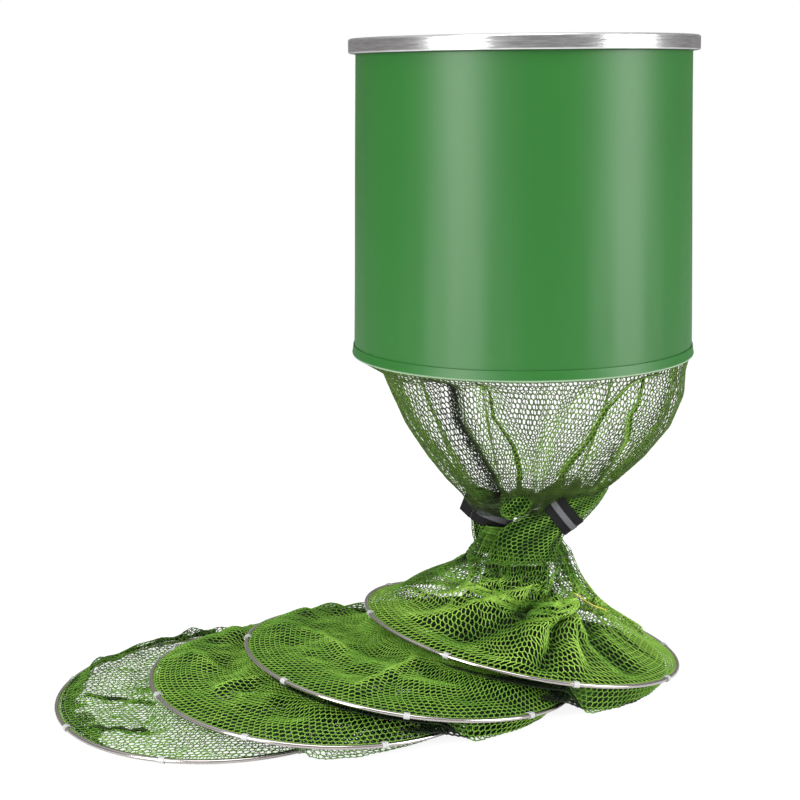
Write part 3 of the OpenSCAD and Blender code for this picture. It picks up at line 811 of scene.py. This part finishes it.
def lower_neck(u, t):
    """The net that flares from the waist down to ring 1. t runs up it, and its last share
    is gathered in between the lobes."""
    deg = 360 * u
    ring = RINGS[0]
    foot = ring.point(deg, LACING_R, EDGE_UP)
    e = bearing(deg)
    r = np.minimum(1, t / TO_WAIST)
    q = np.maximum(0, (t - TO_WAIST) / (1 - TO_WAIST))
    waist = COLLAR + np.array([-0.003, 0, WAIST_Z]) + e * WAIST
    throat = COLLAR + np.array([-0.003, -0.004, 0.190]) + e * np.array([0.040, 0.012, 0])
    low_side = (1 + np.cos(np.radians(deg) - ring.side)) / 2
    wide = (1 - r) ** NARROWS
    p = mix(waist, foot, wide[..., None])
    p[..., 2] = mix(foot[..., 2], waist[..., 2], r ** mix(1.7, 1.05, low_side))
    push = folds(deg, r, LOWER_FOLDS)
    hump = facing(deg, 132, 0.55, 0.4) * np.sin(math.pi * r) ** 1.5
    ripple = 0.0030 * np.cos(np.radians(11 * (deg + 45 * t)))
    ripple = (ripple + 0.0015 * np.cos(np.radians(23 * deg + 500 * t))) * smooth(r / 0.4)
    hollow = facing(deg, 212, 0.62, 0.3) * np.sin(math.pi * r**0.8)
    spare = (1 - wide) * (NET_ROUND - WAIST_ROUND) / (2 * len(TUCK_BEARINGS))
    front = facing(deg, 262, 0.45, 0.3)
    tuck = tucks(deg, r) * np.minimum(0.5 * spare, 0.030) * (1 - 0.65 * front)
    out = (push + ripple) * smooth(r / 0.12) + 0.020 * hump - 0.026 * hollow - tuck
    p = p + e * out[..., None]
    p[..., 2] += 0.5 * push * smooth(r / 0.12) * smooth((1 - r) / 0.2) + 0.012 * hump
    p = mix(p, throat, q[..., None])
    # Painted light and shade: outward folds and ripples painted lighter; inward ones, tucks, the net drawn
    # in towards the waist and its back painted darker.
    behind = facing(deg, 115, 0.3, 0.4) * smooth(r / 0.3)
    gathered_shade = 0.35 * smooth((t - 0.62) / 0.2)
    return with_painted_light(p, 0.72 + 26 * push + 20 * ripple - 24 * tuck - gathered_shade - 0.4 * behind)


LAID_R = 0.168


def laid_share(along):
    """The laid fold follows the part of the lower net that is as wide."""
    wide = (LAID_R * (1 - 0.9 * along) - WAIST[0]) / (LACING_R - WAIST[0])
    return TO_WAIST * (1 - np.clip(wide, 0, 1) ** (1 / NARROWS))


def laid_in_ring(u, t):
    """The lower net's spare width, laid in one fold on the plane of ring 1, painted dark as painted shade.
    """
    deg = 360 * u
    open_side = facing(deg, 232, 0.1, 0.5)
    p = RINGS[0].point(deg, mix(0.140, LAID_R, open_side) * (1 - 0.9 * t), -0.002)
    p[..., 2] += 0.0015 * (1 + lay_waves(p[..., 0], p[..., 1])) * smooth(t / 0.15)
    return with_painted_light(p, 0.03)


def lining_share(t):
    return 0.1 + 0.75 * t


def lining(u, t):
    """The second layer of the lower net, pulled tight behind the fan, painted in the deepest green as
    painted shade.
    """
    deg = 205 + 105 * u
    p = lower_neck(deg / 360, lining_share(t))[..., :3] - bearing(deg) * 0.014
    p[..., 2] -= 0.004
    return with_painted_light(p, 0.0)


# The cut edge's thread: its ends, sag, radius and the shares of the net that it follows.
THREAD_ENDS = np.array([[0.427, 0.029, 0.115], [0.4685, 0.044, 0.0874]])
THREAD_SAG = 0.002
THREAD_R = 0.0009
THREAD_SHARES = (0.64, 0.48)


def edge_thread(u, t):
    """The net's cut edge, which runs as one pale thread down its right side."""
    turn = 2 * math.pi * u
    p = mix(THREAD_ENDS[0], THREAD_ENDS[1], t[..., None])
    p[..., 2] -= THREAD_SAG * np.sin(math.pi * t) + THREAD_R * np.sin(turn)
    p[..., 1] += THREAD_R * np.cos(turn) + 0.0015 * np.sin(9 * t)
    return with_painted_light(p, 1.0)


lay_waves = Waves(41, 0.04, 0.09)
LOWER_BODIES = ("basket_ring_1", "neck")
INNER_STRAND = STRAND * 1.3
made = joining_net("neck_lower_net_mesh", lower_neck, CELLS_ROUND, ROW, STRAND, BASKET_LOOK, LOWER_BODIES,
    samples=4320, rows=round(LOWER_CUT / ROW), drawn=lambda t: mix(1.0, 0.6, smooth((t - 0.55) / 0.35)))
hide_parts("neck_lower_net")
spare = joining_net("neck_lower_net_slack", laid_in_ring, CELLS_ROUND, ROW, INNER_STRAND,
    BASKET_LOOK, LOWER_BODIES, laid_share, rows=26)
second = joining_net("neck_lower_net_lining", lining, 70, ROW, INNER_STRAND,
    BASKET_LOOK, LOWER_BODIES, lining_share, closed=False, rows=24)
thread = clothes(closed_skin("neck_lower_net_thread", edge_thread, 8, 60), edge_cord, "basket_net")
stretches(thread, *LOWER_BODIES, share=lambda along: mix(*THREAD_SHARES, along))

# Upper neck, bottom to top: height, half width, half depth and centre along X.
UPPER = np.array([
    [0.205, 0.066, 0.024, 0.010],
    [0.232, 0.088, 0.030, 0.014],
    [0.250, 0.106, 0.058, 0.015],
    [0.280, 0.132, 0.098, 0.018],
    [0.320, 0.160, 0.138, 0.020],
    [0.360, 0.177, 0.165, 0.018],
    [0.390, 0.184, 0.184, 0.012],
    [0.4065, 0.200, 0.200, 0.0]])
# Pleats of the upper neck, in the same form as the lower neck's folds.
UPPER_FOLDS = [
    ([0.30, 0.55, 0.75, 1.00], [258, 255, 248, 250], 5.5, -0.011),
    ([0.31, 0.56, 0.82, 0.99], [266, 270, 281, 292], 5.5, -0.012),
    ([0.30, 0.46, 0.79, 0.99], [283, 286, 295, 313], 6, -0.013),
    ([0.15, 0.33, 0.72, 1.00], [330, 317, 308, 317], 5.5, -0.012),
    ([0.10, 0.30, 0.70, 1.00], [236, 238, 229, 234], 7, -0.016),
    ([0.05, 0.30, 0.70, 1.00], [205, 200, 190, 186], 5, -0.016),
    ([0.05, 0.50, 1.00], [160, 152, 150], 5, -0.018),
    ([0.05, 0.50, 1.00], [120, 116, 112], 4, -0.016),
    ([0.05, 0.50, 1.00], [84, 78, 80], 5, -0.018),
    ([0.05, 0.50, 1.00], [45, 48, 44], 4, -0.016),
    ([0.05, 0.50, 1.00], [352, 358, 362], 5, -0.014)]


# The place in that list of the thick dark one at the left.
SHADOWED = 4


def upper_neck(u, t):
    """The pleated net from the waist up to the hem. t runs up it."""
    deg = 360 * u
    z = mix(UPPER[0, 0], UPPER[-1, 0], t)
    a, b, x = (np.interp(z, UPPER[:, 0], UPPER[:, k]) for k in (1, 2, 3))
    push = folds(deg, t, UPPER_FOLDS) * smooth((1 - t) / 0.06)
    ripple = 0.0007 * np.cos(np.radians(31 * deg + 160 * t)) * smooth((1 - t) / 0.2)
    push = np.maximum(push + ripple, -0.5 * b)
    e = bearing(deg)
    p = np.stack([x + (a + push) * e[..., 0], (b + push) * e[..., 1], z], -1)
    shadow = folds(deg, t, [UPPER_FOLDS[SHADOWED]])
    # Painted light and shade: pleats painted lighter; the shadowed pleat and the lowest fifth, by the
    # waist, painted darker.
    shade = 0.42 - 48 * np.minimum(push - shadow, 0) + 25 * shadow
    return with_painted_light(p + COLLAR, shade - 0.35 * smooth(1 - t / 0.2))


def lining_height(deg):
    """The second layer runs up into the pleats at its right and left."""
    return 0.05 + 0.26 * np.exp(-(((deg - 288) / 17) ** 2)) + 0.13 * np.exp(-(((deg - 243) / 11) ** 2))


def upper_lining(u, t):
    """The second layer that the pleats make just above the straps, painted darker towards its left end as
    painted shade.
    """
    deg = 215 + 115 * u
    p = upper_neck(deg / 360, 0.02 + lining_height(deg) * t)[..., :3] - bearing(deg) * 0.003
    return with_painted_light(p, mix(0.12, 0.50, smooth((deg - 250) / 30)))


UPPER_BODIES = ("neck", "collar")
UPPER_CELLS = 188
UPPER_ROW = 0.0077
# Pleats that show as dense lines: the fold's place in UPPER_FOLDS, width in degrees and level of painted
# light, which for the shadowed one is painted shade.
DENSE_PLEATS = [(SHADOWED, 9, -0.10), (2, 4.5, 0.42), (3, 4.5, 0.42), (0, 3, 0.25)]
# Where up the net those start and end.
LOW_END = 0.02
HIGH_END = 0.985


def pleat(fold, width, painted_light):
    """The net folded together along one pleat, as a narrow strip just inside it."""
    places, bearings = UPPER_FOLDS[fold][:2]

    def strip(u, t):
        at = mix(LOW_END, HIGH_END, t)
        deg = np.interp(at, places, bearings) + (u - 0.5) * width * (1.2 - t)
        p = upper_neck(deg / 360, at)[..., :3] - bearing(deg) * 0.002
        return with_painted_light(p, painted_light)

    return joining_net(f"neck_upper_net_pleat_{fold}", strip, 5, 0.005, NECK_STRAND * 1.1,
        SHADED_NECK_LOOK, UPPER_BODIES, lambda along: mix(LOW_END, HIGH_END, along), closed=False, even=False)


made = joining_net("neck_upper_net_mesh", upper_neck, UPPER_CELLS, UPPER_ROW, NECK_STRAND,
    SHADED_NECK_LOOK, UPPER_BODIES, samples=3600, drawn=lambda t: mix(0.55, 1.0, smooth(t / 0.28)))
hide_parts("neck_upper_net")
pleats = [pleat(*choice) for choice in DENSE_PLEATS]
second = joining_net("neck_upper_net_lining", upper_lining, 74, UPPER_ROW, NECK_STRAND,
    SHADED_NECK_LOOK, UPPER_BODIES, lambda along: 0.02 + 0.14 * along, closed=False, rows=14)

# Gathered lobes, as in the frame: centre, elevation of the axis, half width, half depth.
RIGHT_LOBE = [
    [(0.0926, 0, 0.235), 90, 0.015, 0.010],
    [(0.079, -0.0055, 0.226), 58, 0.0176, 0.0146],
    [(0.0618, -0.016, 0.2172), 38, 0.021, 0.017],
    [(0.0382, -0.016, 0.1988), 38, 0.021, 0.017],
    [(0.023, -0.018, 0.186), 42, 0.028, 0.019],
    [(0.008, -0.020, 0.168), 62, 0.040, 0.020],
    [(-0.002, -0.0214, 0.150), 90, 0.042, 0.021]]
LEFT_LOBE = [
    [(-0.0566, 0, 0.235), 90, 0.015, 0.010],
    [(-0.044, 0.002, 0.228), 95, 0.014, 0.011],
    [(-0.0281, 0.020, 0.2101), 69, 0.023, 0.014],
    [(-0.0379, 0.020, 0.1839), 69, 0.023, 0.014],
    [(-0.034, 0.020, 0.170), 82, 0.025, 0.014],
    [(-0.0245, 0.0208, 0.150), 90, 0.029, 0.015]]
FRONT_LOBE = [
    [(-0.027, -0.016, 0.2128), 15, 0.008, 0.005],
    [(-0.019, -0.019, 0.2168), 15, 0.015, 0.012],
    [(-0.005, -0.020, 0.2218), 18, 0.018, 0.015],
    [(0.005, -0.020, 0.2278), 24, 0.015, 0.013],
    [(0.015, -0.019, 0.2328), 34, 0.008, 0.007]]


def lobe_sheet(stations, folds, depth, grow=0.0):
    """A lobe's skin, from its first station to its last."""
    place = np.array([s[0] for s in stations])
    rest = np.array([s[1:] for s in stations], float)
    at = np.linspace(0, 1, len(stations))

    def sheet(u, t):
        turn = 2 * math.pi * u
        c = np.stack([np.interp(t, at, place[:, k]) for k in range(3)], -1)
        lift, wide, deep = (np.interp(t, at, rest[:, k]) for k in range(3))
        lift = np.radians(lift)
        crease = depth * np.cos(folds * turn + 3 * t) * np.sin(math.pi * t)
        run = np.stack([np.sin(lift), 0 * lift, -np.cos(lift)], -1)
        p = c + ((wide + grow + crease) * np.cos(turn))[..., None] * run
        p[..., 1] += (deep + grow + crease) * np.sin(turn)
        # Painted light and shade: crease ridges painted lighter and their hollows darker.
        return with_painted_light(p + COLLAR, 0.40 + 130 * crease)

    return sheet


LOBES = [
    ("neck_gather_right", RIGHT_LOBE, 32),
    ("neck_gather_left", LEFT_LOBE, 24),
    ("neck_gather_front", FRONT_LOBE, 20),
]
# Each lobe's core is a solid near-black skin inside its net: painted shade standing in for bunched net in
# shadow.
painted_shade_core = plain_material("net_core", (0.008, 0.022, 0.004), 0.95, 260.0, 0.5, 0.1)

for name, stations, cells in LOBES:
    skin = net(name + "_mesh", lobe_sheet(stations, 7, 0.0018), cells, ROW * 0.72, FINE_STRAND, samples=240)
    clothes(skin, basket_net, "neck_net")
    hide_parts(name)
    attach(skin, "neck")
    core = closed_skin(name + "_core", lobe_sheet(stations, 7, 0.0022, -0.0035), 48, 24)
    clothes(core, painted_shade_core, "neck_net")
    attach(core, "neck")

# ---------- cloth, tape and cord

body_of = {n: body for body, names in frame["record"]["behaviour"]["bodies"].items() for n in names}


def mesh_points(node_name):
    mesh = nodes_of_frame[node_name].data
    flat = np.empty(3 * len(mesh.vertices), np.float32)
    mesh.vertices.foreach_get("co", flat)
    return flat.reshape(-1, 3).astype(float)


SLEEVE_ROUND = 360
SLEEVE_UP = 61


def sleeve_piece():
    """The coated sleeve as one turned cloth, a little uneven where the hoop pulls on it."""
    p = mesh_points("sleeve")
    r = np.hypot(p[:, 0] - COLLAR[0], p[:, 1] - COLLAR[1])
    low, high = p[:, 2].min(), p[:, 2].max()
    foot, head = (r[np.abs(p[:, 2] - z) < 0.002] for z in (low, high))
    u = np.arange(SLEEVE_ROUND)[:, None] / SLEEVE_ROUND
    s = np.linspace(0, 1, SLEEVE_UP)[None]
    e = bearing(360 * u)
    pull = 0.0004 * (1 - s) ** 3 * np.cos(2 * math.pi * 34 * u)
    pull = pull + 0.0003 * np.cos(2 * math.pi * (5 * u + 0.7 * s))
    layers = []
    for pick in (np.max, np.min):
        radius = mix(pick(foot), pick(head), s) + (pull - 0.0004) * np.sin(math.pi * s) ** 0.5
        layer = COLLAR + e * radius[..., None]
        layer[..., 2] = mix(low, high, s)
        layers.append(layer.reshape(-1, 3))
    index = np.arange(SLEEVE_ROUND * SLEEVE_UP).reshape(SLEEVE_ROUND, SLEEVE_UP)
    after = np.roll(index, -1, 0)
    outer = closed_quads(index)
    inner = outer[:, ::-1] + index.size
    top = np.stack([index[:, -1], after[:, -1], after[:, -1] + index.size, index[:, -1] + index.size], -1)
    foot_rim = np.stack([index[:, 0], index[:, 0] + index.size, after[:, 0] + index.size, after[:, 0]], -1)
    faces = np.concatenate([outer, inner, top, foot_rim])
    made = object_from("sleeve_cloth", np.concatenate(layers), [faces])
    return made, (2 * math.pi * float(r.max()), float(high - low))


STRAP_FULLER = 0.0003


def softened(node_name, width, fuller):
    """A copy of a tape or strap, fuller all round, with edges rounded as woven edges are."""
    mesh = nodes_of_frame[node_name].data.copy()
    work = bmesh.new()
    work.from_mesh(mesh)
    bmesh.ops.remove_doubles(work, verts=work.verts, dist=0.00001)
    work.normal_update()
    for vert in work.verts:
        vert.co += vert.normal * fuller
    work.to_mesh(mesh)
    work.free()
    mesh.materials.clear()
    made = placed(node_name + "_woven", mesh)
    rounded = made.modifiers.new("edges", "BEVEL")
    rounded.width = width
    rounded.segments = 3
    rounded.limit_method = "ANGLE"
    rounded.angle_limit = math.radians(50)
    return made


# The three-strand cord: radius of the circle that it is laid in, and its turns round a ring.
CORD_R = 0.0012
CORD_TWISTS = 220


def twisted_cord(name, ring):
    """A three-strand cord laid round the inside of a ring."""
    count = 720
    turn = 2 * math.pi * np.arange(count) / count
    points, quads = [], []
    for k in range(3):
        lay = CORD_TWISTS * turn + 2 * math.pi * k / 3
        middle = ring.point(np.degrees(turn), LACING_R + 0.5 * CORD_R * np.cos(lay))
        middle[:, 2] += 0.5 * CORD_R * np.sin(lay)
        e = bearing(np.degrees(turn))
        for side in range(6):
            a = 2 * math.pi * side / 6
            points.append(middle + 0.52 * CORD_R * (math.cos(a) * e + math.sin(a) * np.array([0, 0, 1.0])))
            here = (6 * k + side) * count + np.arange(count)
            there = (6 * k + (side + 1) % 6) * count + np.arange(count)
            quads.append(np.stack([here, np.roll(here, -1), np.roll(there, -1), there], 1))
    return object_from(name, np.concatenate(points), [np.concatenate(quads)])


sleeve, sleeve_flat = sleeve_piece()
clothes(sleeve, MATERIAL_OF_SLOT["coated_fabric"], "coated_fabric")
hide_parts("sleeve")
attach(sleeve, "collar")
# Tapes and straps: how round their edges are and how much fuller they are than in the frame.
TAPES = [("sleeve_seam", 0.0003, 0), ("hem_binding", 0.0008, 0)] + [
    (f"strap_{side}_{piece}", width, STRAP_FULLER)
    for piece, width in (("band", 0.0006), ("tab", 0.0005), ("stripe", 0.0002))
    for side in ("right", "left")]

for name, width, fuller in TAPES:
    tape = softened(name, width, fuller)
    clothes(tape, MATERIAL_OF_SLOT[slot_of[name]], slot_of[name])
    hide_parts(name)
    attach(tape, body_of[name])
for number, ring in enumerate(RINGS, 1):
    lacing = twisted_cord(f"lacing_{number}_cord", ring)
    clothes(lacing, MATERIAL_OF_SLOT["lacing_cord"], "lacing_cord")
    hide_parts(f"lacing_{number}")
    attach(lacing, body_of[f"lacing_{number}"])

# ---------- stage and light

FLOOR_SIZE = 12.0
FLOOR_Z = -0.0002


def make_floor():
    mesh = bpy.data.meshes.new("floor")
    half = FLOOR_SIZE / 2
    corners = [(-half, -half), (half, -half), (half, half), (-half, half)]
    mesh.from_pydata([(x, y, FLOOR_Z) for x, y in corners], [], [(0, 1, 2, 3)])
    floor = placed("floor", mesh)
    material = bpy.data.materials.new("floor")
    material.use_nodes = True
    tree = material.node_tree
    tree.nodes.clear()
    diffuse = node(tree, "ShaderNodeBsdfDiffuse")
    diffuse.inputs["Color"].default_value = (0.82, 0.82, 0.82, 1)
    glow = node(tree, "ShaderNodeEmission", Strength=1.18)
    seen = tree.nodes.new("ShaderNodeLightPath")
    share = node(tree, "ShaderNodeMath", operation="MULTIPLY")
    share.inputs[1].default_value = 0.75
    tree.links.new(seen.outputs["Is Camera Ray"], share.inputs[0])
    out = tree.nodes.new("ShaderNodeOutputMaterial")
    blend = mixed(tree, share.outputs[0], diffuse.outputs[0], glow.outputs[0])
    tree.links.new(blend, out.inputs["Surface"])
    mesh.materials.append(material)


def make_world():
    world = bpy.data.worlds.new("world")
    bpy.context.scene.world = world
    world.use_nodes = True
    tree = world.node_tree
    tree.nodes.clear()
    path = tree.nodes.new("ShaderNodeLightPath")
    plain = node(tree, "ShaderNodeBackground", Color=(1, 1, 1, 1), Strength=0.55)
    gloss = node(tree, "ShaderNodeBackground", Strength=1.0)
    way = node(tree, "ShaderNodeSeparateXYZ")
    tree.links.new(tree.nodes.new("ShaderNodeTexCoord").outputs["Generated"], way.inputs["Vector"])
    stops = [(0.0, (0.26, 0.25, 0.245)), (0.2, (0.30,) * 3), (0.55, (0.45,) * 3), (0.9, (0.95,) * 3)]
    tree.links.new(ramp(tree, way.outputs["Z"], stops), gloss.inputs["Color"])
    lit = mixed(tree, path.outputs["Is Glossy Ray"], plain.outputs[0], gloss.outputs[0])
    white = node(tree, "ShaderNodeBackground", Color=(1, 1, 1, 1), Strength=1.0)
    seen = node(tree, "ShaderNodeMath", operation="MAXIMUM")
    tree.links.new(path.outputs["Is Camera Ray"], seen.inputs[0])
    tree.links.new(path.outputs["Is Transmission Ray"], seen.inputs[1])
    out = tree.nodes.new("ShaderNodeOutputWorld")
    blend = mixed(tree, seen.outputs[0], lit, white.outputs[0])
    tree.links.new(blend, out.inputs["Surface"])


def make_lamp(name, at, size, power):
    data = bpy.data.lights.new(name, "AREA")
    data.shape = "RECTANGLE"
    data.size, data.size_y = size
    data.energy = power
    lamp = placed(name, data)
    lamp.location = at
    away = np.array(at) - np.array(AIM)
    yaw = math.atan2(away[0], -away[1])
    pitch = math.atan2(away[2], math.hypot(away[0], away[1]))
    turn = Matrix.Rotation(yaw, 4, "Z") @ Matrix.Rotation(math.pi / 2 - pitch, 4, "X")
    lamp.matrix_world = Matrix.Translation(at) @ turn


AIM = (0.30, 0.05, 0.35)
make_floor()
make_world()
# Name, place, size and watts.
make_lamp("softbox_left", (-1.45, -1.75, 0.95), (1.15, 1.9), 62)
make_lamp("softbox_right", (2.35, -0.85, 0.95), (1.05, 1.9), 46)
make_lamp("top", (0.2, -0.9, 2.6), (1.8, 1.4), 22)

bpy.context.scene.view_settings.view_transform = "Standard"
